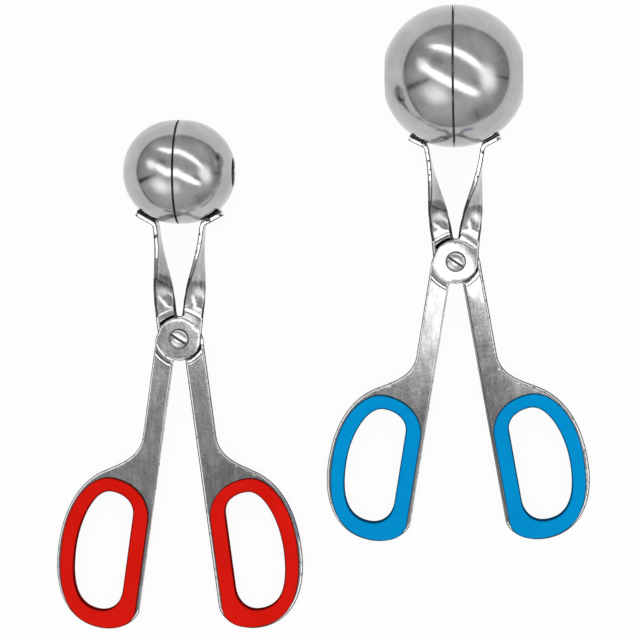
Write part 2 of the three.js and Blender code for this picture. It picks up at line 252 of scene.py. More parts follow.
# Closed curves of a grip and its hole, which start where they end.
GRIP_CURVE = [
    [(0, 0.8525)],
    [(0, 0.947), (0.171, 1), (0.3755, 1)],
    [(0.7726, 1), (1, 0.839), (1, 0.4736)],
    [(1, 0.203), (0.7726, 0), (0.508, 0)],
    [(0.219, 0), (0, 0.108), (0, 0.257)],
]
HOLE_CURVE = [
    [(0, 0.7965)],
    [(0, 0.918), (0.162, 1), (0.389, 1)],
    [(0.785, 1), (1, 0.857), (1, 0.5195)],
    [(1, 0.26), (0.766, 0), (0.464, 0)],
    [(0.2, 0), (0, 0.069), (0, 0.173)],
]


# Camera. It stood above the table, to the right of the picture's middle.
CAMERA_HEIGHT = 820 * MM
CAMERA_RIGHT = 66 * MM
LARGE_PIVOT_SEEN = Vector((50.49, 21.3, 0)) * MM    # from the picture's middle, on the table
PICTURE_WIDTH = 236.8 * MM
SENSOR = 36.0

joints = {joint["name"]: joint for joint in frame["joints"]}


def placed(name, data):
    """A new object in the scene."""
    obj = bpy.data.objects.new(name, data)
    bpy.context.scene.collection.objects.link(obj)
    return obj


def place_camera():
    target = Vector(joints["large_pivot"]["pos_m"]) - LARGE_PIVOT_SEEN
    target.z = 0
    camera = placed("camera", bpy.data.cameras.new("camera"))
    camera.location = target + Vector((CAMERA_RIGHT, 0, CAMERA_HEIGHT))
    forward = (target - camera.location).normalized()
    right = forward.cross(Vector((0, 1, 0))).normalized()
    up = right.cross(forward)
    camera.rotation_euler = Matrix((right, up, -forward)).transposed().to_euler()
    camera.data.sensor_width = SENSOR
    camera.data.lens = SENSOR * (target - camera.location).length / PICTURE_WIDTH
    camera.data.clip_start = 0.01
    bpy.context.scene.camera = camera


place_camera()


# Places of one tongs.
def placement(spec):
    joint = joints[spec["joint"]]
    axis = Vector(joint["axis"]) * spec["flip"]
    tilt = math.atan2(math.hypot(axis.x, axis.y), axis.z)
    lean = math.atan2(axis.x, -axis.y)
    turn = Matrix.Rotation(lean, 4, "Z") @ Matrix.Rotation(tilt, 4, "X")
    return Matrix.Translation(Vector(joint["pos_m"])) @ turn @ Matrix.Scale(MM, 4)


def shank_place(spec):
    turn = math.radians(spec["shank_angle"])
    cos, sin = math.cos(turn), math.sin(turn)

    def place(across, along):
        out = SHANK_OFFSET + across
        return Vector((-out * cos - along * sin, out * sin - along * cos))

    return place


def shank_axes(spec):
    """Unit vectors along the shank, away from the pivot, and across it."""
    turn = math.radians(spec["shank_angle"])
    return Vector((-math.sin(turn), -math.cos(turn))), Vector((-math.cos(turn), math.sin(turn)))


def neck_frame(spec):
    slope = math.radians(spec["tab_slope"])
    reach = spec["cup_radius"] + SEAT_GAP + HALF
    base = SEAM / 2 + spec["cup_lip"]
    weld = Vector((base + reach * math.sin(slope), spec["ball_reach"] - reach * math.cos(slope)))
    tab = Vector((math.cos(slope), math.sin(slope)))
    bend = weld - tab * spec["tab_inner"]
    foot = Vector((spec["neck_foot"], NECK_FOOT_HEIGHT))
    along = (bend - foot).normalized()
    across = Vector((along.y, -along.x))
    turn = math.acos(along.dot(tab))
    trim = BEND_RADIUS * math.tan(turn / 2)
    bend_start = bend.dot(along) - trim
    bend_end = bend_start + BEND_RADIUS * turn
    return {
        "along": along,
        "across": across,
        "offset": foot.dot(across),
        "turn": turn,
        "bend_start": bend_start,
        "bend_end": bend_end,
        "weld_start": bend_end - WELD_BACK,
        "end": bend_end + spec["tab_inner"] + spec["tab_outer"] - trim,
    }


# Outlines, as lists of 2D points.
def curve(start, rows, steps, place):
    points = [Vector(start)]
    for row in rows:
        first = points[-1]
        for k in range(1, steps + 1):
            t = k / steps
            if len(row) == 1:
                points.append(first.lerp(Vector(row[0]), t))
                continue
            a, b, c = (Vector(p) for p in row)
            s = 1 - t
            points.append(first * s**3 + a * (3 * s * s * t) + b * (3 * s * t * t) + c * t**3)
    return [place(p.x, p.y) for p in points]


def arc(centre, start, end, radius, steps):
    """Points from one angle to another, both in radians."""
    angles = [start + (end - start) * k / steps for k in range(steps + 1)]
    return [centre + Vector((math.cos(a), math.sin(a))) * radius for a in angles]


def rounded_corner(before, corner, after, radius, steps=5):
    into = (corner - before).normalized()
    out = (after - corner).normalized()
    turn = into.angle_signed(out)
    setback = radius * math.tan(abs(turn) / 2)
    side = Vector((-into.y, into.x)) * (-1 if turn > 0 else 1)
    start = corner - into * setback
    centre = start + side * radius
    first = math.atan2(start.y - centre.y, start.x - centre.x)
    return arc(centre, first, first - turn, radius, steps)


def densified(points, spacing):
    """Splits the edges of a closed outline where they are longer than asked."""
    out = []
    for k, point in enumerate(points):
        after = points[(k + 1) % len(points)]
        length = (after - point).length
        if length < 1e-4:
            continue
        parts = max(1, math.ceil(length / spacing((point + after) / 2)))
        out.extend(point.lerp(after, j / parts) for j in range(parts))
    return out


def shifted(points, distance):
    """Moves a closed outline to the left of its way round."""
    out = []
    for k, point in enumerate(points):
        before = points[k - 1]
        after = points[(k + 1) % len(points)]
        a = (point - before).normalized()
        b = (after - point).normalized()
        left = Vector((-(a.y + b.y), a.x + b.x)).normalized()
        grow = max(0.5, left.dot(Vector((-a.y, a.x))))
        out.append(point + left * (distance / grow))
    return out


def signed_area(points):
    return sum(p.cross(points[(k + 1) % len(points)]) for k, p in enumerate(points)) / 2


def grip_curve(spec, side, steps, hole=False):
    """Outline of a grip, or of the hole in it."""
    reach = spec["reach"][side]
    left, right, top, bottom = GRIP_RIM, LOOP_WIDTH - GRIP_RIM, GRIP_TOP * reach, reach - GRIP_HEM
    rows = GRIP_CURVE
    if hole:
        rows = HOLE_CURVE
        left, right = left + GRIP_BAND_INNER, right - GRIP_BAND_OUTER
        top, bottom = top + GRIP_BAND_TOP, bottom - GRIP_BAND_BOTTOM
    place = shank_place(spec)

    def at(across, along):
        return place(left + across * (right - left), top + along * (bottom - top))

    return curve(rows[-1][-1], rows, steps, at)[:-1]


def disc_notch(offset, place):
    """The fillet between the disc and a straight edge at that offset.

    Returns its points, where it leaves the edge and at which angle it meets the disc."""
    u = offset - NOTCH_FILLET
    v = math.sqrt((DISC_RADIUS + NOTCH_FILLET) ** 2 - u * u)
    notch = place(u, v)
    straight = place(offset, v)
    touch = notch * (DISC_RADIUS / notch.length)
    start = math.atan2(straight.y - notch.y, straight.x - notch.x)
    stop = math.atan2(touch.y - notch.y, touch.x - notch.x)
    stop -= 2 * math.pi * round((stop - start) / (2 * math.pi))
    return arc(notch, start, stop, NOTCH_FILLET, 6), v, math.atan2(touch.y, touch.x)


def arm_outline(spec, side):
    """The front arm rolled out flat, counter-clockwise."""
    neck = neck_frame(spec)
    inner = neck["offset"] - NECK_WIDTH / 2
    outer = neck["offset"] + NECK_WIDTH / 2
    shank = shank_place(spec)
    origin = Vector((0, 0))

    def at_neck(q, p):
        return neck["across"] * q + neck["along"] * p

    def at_shank(q, p):
        return shank(q - SHANK_OFFSET, p)

    def tangent_angle(point):
        return math.atan2(point.y, point.x) - math.acos(DISC_RADIUS / point.length)

    shoulder = at_neck(outer, NECK_SHOULDER)
    tip = at_neck(outer, neck["end"]), at_neck(inner, neck["end"])
    right_angle = tangent_angle(shoulder)
    points = [Vector((math.cos(right_angle), math.sin(right_angle))) * DISC_RADIUS]
    points += rounded_corner(points[0], shoulder, tip[0], NECK_ROUND)
    points += rounded_corner(shoulder, *tip, TIP_RADIUS, 8)
    points += rounded_corner(*tip, at_neck(inner, 0), TIP_RADIUS, 8)
    notch, foot, angle = disc_notch(inner, at_neck)
    corner = shank(SHANK_WIDTH, SHANK_SHOULDER)
    left_angle = tangent_angle(corner) % (2 * math.pi)
    points += notch + arc(origin, angle, left_angle, DISC_RADIUS, 24)[1:]
    below = shank(SHANK_WIDTH, SHANK_SHOULDER + 8)
    points += rounded_corner(points[-1], corner, below, SHANK_ROUND)
    notch, foot, angle = disc_notch(SHANK_OFFSET, at_shank)
    reach = spec["reach"][side]
    share = SHANK_WIDTH / LOOP_WIDTH
    loop = curve((0, foot / reach), [
        [(0, HEEL_START)],
        HEEL,
        BELLY,
        BROW,
        [FLARE_FIRST, (share, FLARE_PULL), (share, FLARE_END)],
        [(share, (SHANK_SHOULDER + 3) / reach)],
    ], 30, lambda a, b: shank(a * LOOP_WIDTH, b * reach))
    while right_angle < angle:
        right_angle += 2 * math.pi
    last = arc(origin, angle, right_angle, DISC_RADIUS, 24)[1:-1]
    return points + loop[::-1] + notch[1:] + last


# Meshes.
def joined(mesh, distance):
    """Joins points that lie closer than that, and turns the faces outwards."""
    work = bmesh.new()
    work.from_mesh(mesh)
    bmesh.ops.remove_doubles(work, verts=work.verts, dist=distance)
    bmesh.ops.recalc_face_normals(work, faces=work.faces)
    work.to_mesh(mesh)
    work.free()


def piece(spec, part, made, solid, body, slot, marks=None, soft=0.0):
    """A solid built in the frame of one tongs, put in place and tied to its body.

    The solid is its vertices and faces. The marks tell which of its materials each
    face has. Soft is how far its sharp edges are rounded."""
    vertices, faces = solid
    place = placement(spec)
    if body == "back":
        place = place @ Matrix.Rotation(math.pi, 4, "Y")
    replaces = f"{spec['name']}_{part}"
    name = f"{replaces}_{made}"
    mesh = bpy.data.meshes.new(name)
    mesh.from_pydata([place @ Vector(v) for v in vertices], [], faces)
    if marks:
        mesh.polygons.foreach_set("material_index", marks)
    mesh.validate()
    joined(mesh, 1e-7)
    mesh.shade_smooth()
    obj = placed(name, mesh)
    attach(obj, spec["bodies"][body])
    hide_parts(replaces)
    if soft:
        bevel = obj.modifiers.new("soft", "BEVEL")
        bevel.width = soft * MM
        bevel.segments = 2
        bevel.limit_method = "ANGLE"
        bevel.angle_limit = math.radians(35)
    obj.modifiers.new("normals", "WEIGHTED_NORMAL").weight = 50
    return obj


def inside(points, outline):
    """Which of the points lie inside a closed outline."""
    x, y = points[:, 0], points[:, 1]
    result = np.zeros(len(points), bool)
    ring = np.array([(p.x, p.y) for p in outline])
    for (x0, y0), (x1, y1) in zip(ring, np.roll(ring, -1, axis=0)):
        crosses = (y0 > y) != (y1 > y)
        if y0 != y1:
            result ^= crosses & (x < (x1 - x0) * (y - y0) / (y1 - y0) + x0)
    return result


def ramp(x, softness):
    if x <= -softness:
        return 0.0
    if x >= softness:
        return x
    return (x + softness) ** 2 / (4 * softness)


def ramp_slope(x, softness):
    return min(1.0, max(0.0, (x + softness) / (2 * softness)))


def smooth(x, low, high):
    t = min(1.0, max(0.0, (x - low) / (high - low)))
    return t * t * (3 - 2 * t)


def step_sink(way, end):
    """How far the sheet lies under its nominal height beyond the pressed step."""
    line = end + LINE_START
    tail = 1 - math.exp(-max(0.0, way - line) / TAIL_SPAN)
    return LINE_DROP * smooth(way, line, line + LINE_WIDTH) + TAIL_DROP * tail


def step_ways(spec):
    """Directions from the pivot square to the two steps: towards the neck and the shank."""
    down, aside = shank_axes(spec)
    neck = Vector((spec["neck_foot"], NECK_FOOT_HEIGHT))
    return neck.normalized(), (down * SHANK_STEP + aside * SHANK_MIDDLE).normalized()


def step_way(spec, point):
    """How far a point lies towards the nearer step, and whether that is the neck's.

    The steps are arcs, flatter than the disc."""
    neck, shank = (point.dot(way) for way in step_ways(spec))
    if neck > shank:
        return neck + STEP_ARC_NECK * (point.length - neck), True
    return shank + STEP_ARC_SHANK * (point.length - shank), False


def arm_bender(spec, side):
    """Maps a point of the flat pattern, and a height off its middle, to the formed arm.

    The shank of some arms is wound a little about its own length."""
    neck = neck_frame(spec)
    bend_start, bend_end = neck["bend_start"], neck["bend_end"]
    along, across = neck["along"], neck["across"]
    down, aside = shank_axes(spec)
    pulled = Vector((math.cos(PULL_TURN), math.sin(PULL_TURN)))
    ways = step_ways(spec)
    wind = math.tan(math.radians(WIND[f"{spec['name']}_{side}"]))

    def strip(q, p, w):
        turned = min(max(0.0, p - bend_start), bend_end - bend_start) / BEND_RADIUS
        direction = along * math.cos(turned) + across * math.sin(turned)
        centre = across * (neck["offset"] + BEND_RADIUS * (1 - math.cos(turned)))
        centre = centre + along * (min(p, bend_start) + BEND_RADIUS * math.sin(turned))
        centre = centre + direction * max(0.0, p - bend_end)
        share = min(1.0, max(0.0, (p - TWIST_START) / TWIST_LENGTH))
        twist = math.pi / 2 * math.sin(math.pi / 2 * share) ** TWIST_POWER
        twist *= smooth(p, TWIST_START, TWIST_START + TWIST_ONSET)
        square = Vector((direction.y, -direction.x, 0))
        up = Vector((0, 0, 1))
        wide = square * math.cos(twist) - up * math.sin(twist)
        thick = square * math.sin(twist) + up * math.cos(twist)
        if w < 0 and p > neck["weld_start"]:
            off = p - bend_end - spec["tab_inner"] + BEND_RADIUS * math.tan(neck["turn"] / 2)
            fill = WELD_GAP + WELD_FALL * off * off / (2 * spec["cup_radius"])
            w -= fill * smooth(-w, *WELD_SIDE)
        point = centre.to_3d() + wide * (q - neck["offset"]) + thick * w
        point.z -= step_sink(step_way(spec, across * q + along * p)[0], STEP_NECK[1])
        return point

    def bend(x, y, w):
        p = x * along.x + y * along.y
        q = x * across.x + y * across.y
        if p > TWIST_START and abs(q - neck["offset"]) < NECK_WIDTH:
            return strip(q, p, w)
        s, at_neck = step_way(spec, Vector((x, y)))
        start, stop = STEP_NECK if at_neck else STEP_SHANK[side]
        way = ways[0] if at_neck else ways[1]
        step = DISC_LIFT / (stop - start)
        rise = ramp(s - start, STEP_SOFTNESS) - ramp(s - stop, STEP_SOFTNESS)
        slope = ramp_slope(s - start, STEP_SOFTNESS) - ramp_slope(s - stop, STEP_SOFTNESS)
        slope *= step
        normal = Vector((way.x * slope, way.y * slope, 1)).normalized()
        point = Vector((x, y, DISC_LIFT - step * rise)) + normal * w
        point.z -= step_sink(s, stop)
        pull = max(0.0, x * pulled.x + y * pulled.y - PULL_START)
        point.z -= spec["pull"] * pull * pull * (1 - smooth(s, *PULL_END)) * (w + HALF) / SHEET
        from_pivot = x * down.x + y * down.y
        off = x * aside.x + y * aside.y - SHANK_MIDDLE
        share = smooth(from_pivot, *WIND_START) * (1 - smooth(from_pivot, *WIND_END))
        point.z -= wind * share * WIND_WIDTH * math.tanh(off / WIND_WIDTH)
        return point

    return bend


def edge_spacing(along, point):
    """How far apart the points of an arm's edge are at a place."""
    if point.length < FINE_REACH:
        return FINE
    return STRIP_STEP if point.dot(along) > TWIST_START else COARSE


def pattern_points(spec):
    """Inner points of the flat pattern: rings on the disc, rows on the steps and the neck."""
    neck = neck_frame(spec)
    points = []
    for radius in RINGS:
        count = round(2 * math.pi * radius / 0.6)
        ring = arc(Vector((0, 0)), 0, 2 * math.pi * (1 - 1 / count), radius, count - 1)
        points += [point for point in ring if step_way(spec, point)[0] < ROW_START - 0.1]
    for number, way in enumerate(step_ways(spec)):
        square = Vector((way.y, -way.x))
        for k in range(ROWS):
            offset = FINE / 2 if k % 2 else 0
            for j in range(-ROW_HALF, ROW_HALF + 1):
                point = way * (ROW_START + ROW_STEP * k) + square * (FINE * j + offset)
                at_neck = step_way(spec, point)[1]
                if at_neck == (number == 0) and point.dot(neck["along"]) < TWIST_START:
                    points.append(point)
    for k in range(round((neck["end"] - TWIST_START - 1) / STRIP_STEP)):
        p = TWIST_START + 0.4 + STRIP_STEP * k
        for j in range(-4, 5):
            q = neck["offset"] + NECK_WIDTH * j / 9.5
            points.append(neck["across"] * q + neck["along"] * p)
    place = shank_place(spec)
    for k in range(int(max(spec["reach"].values()) / 2)):
        for j in range(int(LOOP_WIDTH / 2)):
            point = place(1 + 2 * j, 2 * k)
            if step_way(spec, point)[0] > 11.9 and point.length > 13:
                points.append(point)
    return points


def edge_look(spec, side, point, level, lower):
    """Look of one step of an edge, by where the edge runs."""
    neck = neck_frame(spec)
    way = point.dot(neck["along"])
    # Near the cup the tab's lower edge gets painted shade, over more of its steps beyond the bend.
    tab_shade_levels = 3 if way < neck["bend_end"] + TAB_SHADE_START else 5
    if lower and way > neck["weld_start"] and level < tab_shade_levels:
        return PAINTED_SHADE
    if way > NECK_EDGE_ZONE[0]:
        wall = NICKED if way > BRIGHT_WALL else FACE if way > GREY_WALL else SHEARED_AND_SHADE
        return wall if level > 5 else SHEARED_AND_SHADE if level > 1 else FACE
    look = EDGES[side][level][2]
    if look == FACE:
        return FACE
    if way > TWIST_START - 3:
        return SHEARED_AND_SHADE
    off = point.dot(shank_axes(spec)[1])
    if abs(off - SHANK_OFFSET) < 0.15 and point.length > DISC_RADIUS + 1:
        if side == "front":
            return BURNISH_AND_HIGHLIGHT if level == len(EDGES[side]) - 1 else FACE
        if spec is LARGE:
            return SHEARED_AND_SHADE if level in (2, 3, 4) else FACE
    return look


def step_look(spec, point, underside):
    """Look by place: stripes of painted shade and highlight across the step, and painted shade on
    the tab's underside beside the cup.
    """
    neck = neck_frame(spec)
    if underside and point.dot(neck["along"]) > neck["weld_start"]:
        return PAINTED_SHADE
    way, at_neck = step_way(spec, point)
    for low, high, look in spec["stripes"][underside, at_neck]:
        if low < way < high:
            return look
    return FACE


def build_arm(spec, side):
    neck = neck_frame(spec)
    profile = EDGES[side]
    edge_width = profile[-1][0]
    outer = densified(arm_outline(spec, side), lambda point: edge_spacing(neck["along"], point))
    opening = grip_curve(spec, side, 20, hole=True)
    if signed_area(opening) > 0:
        opening.reverse()
    opening = densified(shifted(opening, GRIP_WEB + 0.05), lambda point: COARSE)
    bore = arc(Vector((0, 0)), 0, -2 * math.pi * 31 / 32, BORE_RADIUS, 31)
    loops = [outer, opening, bore]
    inset = [shifted(loop, edge_width) for loop in loops]

    def on_sheet(places):
        return inside(places, inset[0]) & ~inside(places, inset[1]) & ~inside(places, inset[2])

    flat = [point for loop in inset for point in loop]
    edges = []
    first = 0
    for loop in inset:
        count = len(loop)
        edges += [(first + k, first + (k + 1) % count) for k in range(count)]
        first += count
    grid = np.array([tuple(point) for point in pattern_points(spec)])
    keep = on_sheet(grid)
    ring = np.array([tuple(point) for point in flat])
    for k in np.nonzero(keep)[0]:
        near = np.min(np.sum((ring - grid[k]) ** 2, axis=1))
        keep[k] = near > (FINE if np.hypot(*grid[k]) < 13 else 0.35) ** 2
    flat += [Vector(place) for place in grid[keep]]
    result = delaunay_2d_cdt(flat, edges, [], 0, 1e-5)
    points, faces = result[0], result[2]
    found = {source: k for k, sources in enumerate(result[3]) for source in sources}
    middles = [sum((points[i] for i in face), Vector((0, 0))) / 3 for face in faces]
    solid = on_sheet(np.array([tuple(middle) for middle in middles]))
    faces = [tuple(face) for face, ok in zip(faces, solid) if ok]
    middles = [middle for middle, ok in zip(middles, solid) if ok]

    bend = arm_bender(spec, side)
    vertices = [bend(p.x, p.y, height) for height in (HALF, -HALF) for p in points]
    count = len(points)
    skin = faces + [tuple(count + i for i in reversed(face)) for face in faces]
    marks = [step_look(spec, middle, under) for under in (False, True) for middle in middles]
    source = 0
    wall = len(profile) - 1
    for loop, inner in zip(loops, inset):
        rings = [[found[source + k] for k in range(len(loop))]]
        for step in range(2 * wall + 1):
            level = min(step, 2 * wall - step)
            out, drop = profile[level][:2]
            neck_share, neck_drop = NECK_EDGE[level]
            row = []
            for a, b in zip(inner, loop):
                blend = smooth(b.dot(neck["along"]), *NECK_EDGE_ZONE)
                share = out / edge_width * (1 - blend) + neck_share * blend
                height = HALF - drop * (1 - blend) - neck_drop * blend
                point = a.lerp(b, share)
                row.append(len(vertices))
                vertices.append(bend(point.x, point.y, -height if step > wall else height))
            rings.append(row)
        rings.append([count + i for i in rings[0]])
        for step, (upper, lower) in enumerate(zip(rings, rings[1:])):
            level = min(step, 2 * wall + 1 - step)
            for k in range(len(loop)):
                j = (k + 1) % len(loop)
                skin.append((upper[k], lower[k], lower[j], upper[j]))
                marks.append(edge_look(spec, side, loop[k], level, step > wall))
        source += len(loop)
    return piece(spec, f"{side}_arm", "formed", (vertices, skin), side, "arm_steel", marks)


def lathe(profile, segments, closed=True):
    """Turns a profile of (radius, height) pairs about Z."""
    vertices = []
    faces = []
    rows = []
    for radius, height in profile:
        if radius < 1e-6:
            rows.append([len(vertices)] * segments)
            vertices.append((0, 0, height))
            continue
        rows.append([len(vertices) + k for k in range(segments)])
        for k in range(segments):
            angle = 2 * math.pi * k / segments
            vertices.append((radius * math.cos(angle), radius * math.sin(angle), height))
    pairs = list(zip(rows, rows[1:])) + ([(rows[-1], rows[0])] if closed else [])
    for a, b in pairs:
        for k in range(segments):
            j = (k + 1) % segments
            face = tuple(dict.fromkeys((a[k], a[j], b[j], b[k])))
            if len(face) > 2:
                faces.append(face)
    return vertices, faces


def profile_arc(centre, radius, start, end, steps):
    angles = [math.radians(start + (end - start) * k / steps) for k in range(steps + 1)]
    return [(centre[0] + radius * math.cos(a), centre[1] + radius * math.sin(a)) for a in angles]


def build_cup(spec, side, cup_side):
    radius = spec["cup_radius"]
    inner = radius - CUP_WALL
    base = SEAM / 2 + spec["cup_lip"]
    vent = spec["vent_radius"] + CUP_WALL / 2 * 0.9
    lip, band = SEAM / 2 + RIM_ROUND, SEAM / 2 + SEAM_SHADE_BAND
    profile = profile_arc((radius - RIM_ROUND, lip), RIM_ROUND, -90, 0, 4) + [(radius, band)]
    profile += profile_arc((0, base), radius, 0, math.degrees(math.acos(vent / radius)), CUP_STEPS)
    lining = profile_arc((0, base), inner, math.degrees(math.acos(vent / inner)), 0, CUP_STEPS)
    outer_end, inner_end = profile[-1], lining[0]
    middle = ((outer_end[0] + inner_end[0]) / 2, (outer_end[1] + inner_end[1]) / 2)
    lean = math.degrees(math.atan2(outer_end[1] - middle[1], outer_end[0] - middle[0]))
    profile += profile_arc(middle, math.dist(outer_end, inner_end) / 2, lean, lean + 180, 6)[1:-1]
    profile += lining + [(inner, band)]
    profile += profile_arc((inner + RIM_ROUND, lip), RIM_ROUND, 180, 270, 4)
    vertices, faces = lathe(profile, 160)
    # The rim beside the seam gets the dark sheared steel: painted shade that widens the seam's
    # dark line.
    seam_shade_top = SEAM / 2 + SEAM_SHADE_BAND * 1.01
    marks = [int(all(vertices[i][2] < seam_shade_top for i in face)) for face in faces]
    turned = []
    seed = Vector((3.1, 7.7, 1.3)) if side == "front" else Vector((9.2, 2.4, 5.8))
    for x, y, z in vertices:
        local = Vector((z, y, -x))
        depth = max(0.0, min(1.0, (z - base) / 3))
        push = noise.noise(local / DENT_SPAN + seed) * DENT * depth
        local -= local.normalized() * abs(push)
        turned.append(local + Vector((0, spec["ball_reach"], 0)))
    return piece(spec, f"{cup_side}_cup", "drawn", (turned, faces), side, "cup_steel", marks)


def build_grip(spec, side, grip_side):
    """A plastic ring with a soft edge, grooved all round for the steel."""
    half = GRIP_DEPTH / 2
    rim = half - GRIP_CROWN
    groove = HALF + GRIP_PLAY
    crown = [(s, half - GRIP_CROWN * (2 * s - 1) ** 4) for s in (0.3, 0.4, 0.5, 0.6, 0.7)]

    def section(width):
        web = width - GRIP_WEB - 0.02
        points = [(web, -groove), (web, groove), (0.0, groove)]
        points += profile_arc((GRIP_ROUND, rim - GRIP_ROUND), GRIP_ROUND, 180, 90, 6)
        points += [(width * s, z) for s, z in crown]
        points += profile_arc((width - HOLE_ROUND, rim - HOLE_ROUND), HOLE_ROUND, 90, 0, 8)
        return points + [(s, -z) for s, z in reversed(points[2:])]

    vertices = []
    rings = []
    for a, b in zip(grip_curve(spec, side, 26), grip_curve(spec, side, 26, hole=True)):
        width = (b - a).length
        way = (b - a) / width
        ring = [(*(a + way * s), z) for s, z in section(width)]
        rings.append(range(len(vertices), len(vertices) + len(ring)))
        vertices += ring
    faces = []
    for k, row in enumerate(rings):
        after = rings[(k + 1) % len(rings)]
        for i in range(len(row)):
            j = (i + 1) % len(row)
            faces.append((row[i], row[j], after[j], after[i]))
    return piece(spec, f"{grip_side}_grip", "moulded", (vertices, faces), side, spec["grip_slot"])


def cut_mesh(base, tool, operation):
    """Result of a boolean between two solids."""
    made = []
    for vertices, faces in (base, tool):
        mesh = bpy.data.meshes.new("blank")
        mesh.from_pydata(vertices, [], faces)
        joined(mesh, 1e-5)
        made.append(placed("blank", mesh))
    modifier = made[0].modifiers.new("cut", "BOOLEAN")
    modifier.operation = operation
    modifier.solver = "EXACT"
    modifier.object = made[1]
    graph = bpy.context.evaluated_depsgraph_get()
    result = bpy.data.meshes.new_from_object(made[0].evaluated_get(graph))
    vertices = [tuple(v.co) for v in result.vertices]
    faces = [tuple(p.vertices) for p in result.polygons]
    for obj in made:
        bpy.data.objects.remove(obj)
    bpy.data.meshes.remove(result)
    return vertices, faces


def prism_faces(count):
    """Faces of a prism between two rings of so many points."""
    faces = [tuple(range(count - 1, -1, -1)), tuple(range(count, 2 * count))]
    return faces + [(k, (k + 1) % count, count + (k + 1) % count, count + k) for k in range(count)]


def slot_cutter(spec, top):
    """A bar with the section of the screw's slot and of the worn lips beside it."""
    half = SLOT_WIDTH / 2
    upper, lower = spec["slot_lips"]
    section = [
        (-half, -SLOT_DEPTH), (half, -SLOT_DEPTH), (half, upper[0]), (LIP_REACH, upper[1]),
        (LIP_REACH, 1.0), (-LIP_REACH, 1.0), (-LIP_REACH, lower[1]), (-half, lower[0]),
    ]
    place = Matrix.Rotation(math.radians(spec["slot_turn"]), 3, "Z")
    ends = (-1.5 * HEAD_RADIUS, 1.5 * HEAD_RADIUS)
    vertices = [place @ Vector((x, y, top + z)) for x in ends for y, z in section]
    return vertices, prism_faces(len(section))


def build_screw(spec):
    seat = PLATE_TOP + 0.06
    tail = -PLATE_TOP - PLATE_GAP - NUT_HEIGHT - SCREW_END
    profile = [
        (0, tail), (SCREW_RADIUS - 0.35, tail), (SCREW_RADIUS, tail + 0.35), (SCREW_RADIUS, seat),
        (HEAD_FLANGE, seat), (HEAD_FLANGE, seat + 0.1), (HEAD_RADIUS, seat + 0.12),
    ]
    steps = 14
    for k in range(steps + 1):
        angle = math.pi / 2 * k / steps
        height = seat + HEAD_EDGE + (HEAD_HEIGHT - HEAD_EDGE) * math.sin(angle)
        profile.append((HEAD_RADIUS * math.cos(angle) if k < steps else 0, height))
    top = seat + HEAD_HEIGHT
    blank = lathe(profile, 72, closed=False)
    solid = cut_mesh(blank, slot_cutter(spec, top), "DIFFERENCE")
    vertices, faces = solid
    floor = top - SLOT_DEPTH
    # The ring round the head and the slot's floor get the dark sheared steel: painted shade of the
    # gap under the head and of the slot.
    marks = []
    for face in faces:
        heights = [vertices[i][2] for i in face]
        flange_shadow = min(heights) > seat - 0.01 and max(heights) < seat + 0.15
        slot_floor_shade = max(abs(height - floor) for height in heights) < 0.01
        marks.append(int(flange_shadow or slot_floor_shade))
    return piece(spec, "pivot_screw", "turned", solid, "screw", "pivot_steel", marks, soft=0.16)


def build_nut(spec):
    corner = NUT_ACROSS / math.sqrt(3)
    top = -PLATE_TOP - 0.05
    low = top - NUT_HEIGHT - PLATE_GAP + 0.05
    turns = [math.pi * k / 3 for k in range(6)]
    ring = [(corner * math.cos(turn), corner * math.sin(turn)) for turn in turns]
    blank = [(x, y, z) for z in (low, top) for x, y in ring]
    chamfer = 0.45
    flat = NUT_ACROSS / 2 - 0.1
    thread = SCREW_RADIUS + 0.05
    cone = [
        (SCREW_RADIUS + 0.45, low), (flat, low), (flat + chamfer * 1.8, low + chamfer),
        (flat + 1, low + chamfer + 0.2), (flat + 1, top), (thread, top), (thread, low + 0.4),
    ]
    solid = cut_mesh(lathe(cone, 60), (blank, prism_faces(6)), "INTERSECT")
    return piece(spec, "pivot_nut", "chamfered", solid, "screw", "pivot_steel", soft=0.07)


def build_washer(spec):
    thick = DISC_LIFT - HALF - 0.03
    soft = 0.12
    profile = profile_arc((WASHER_RADIUS - soft, thick - soft), soft, 0, 90, 3)
    profile += profile_arc((BORE_RADIUS + soft, thick - soft), soft, 90, 180, 3)
    profile += [(r, -z) for r, z in reversed(profile)]
    return piece(spec, "pivot_washer", "pressed", lathe(profile, 72), "screw", "pivot_steel")


# Node trees.
NOISE_MIDDLE = (0.3, 0.7)   # between which nearly all of a noise lies


def new_node(tree, kind, inputs=None, **settings):
    """A new shader node, with values of its inputs and settings."""
    node = tree.nodes.new("ShaderNode" + kind)
    for name, value in (inputs or {}).items():
        node.inputs[name].default_value = value
    for name, value in settings.items():
        setattr(node, name, value)
    return node


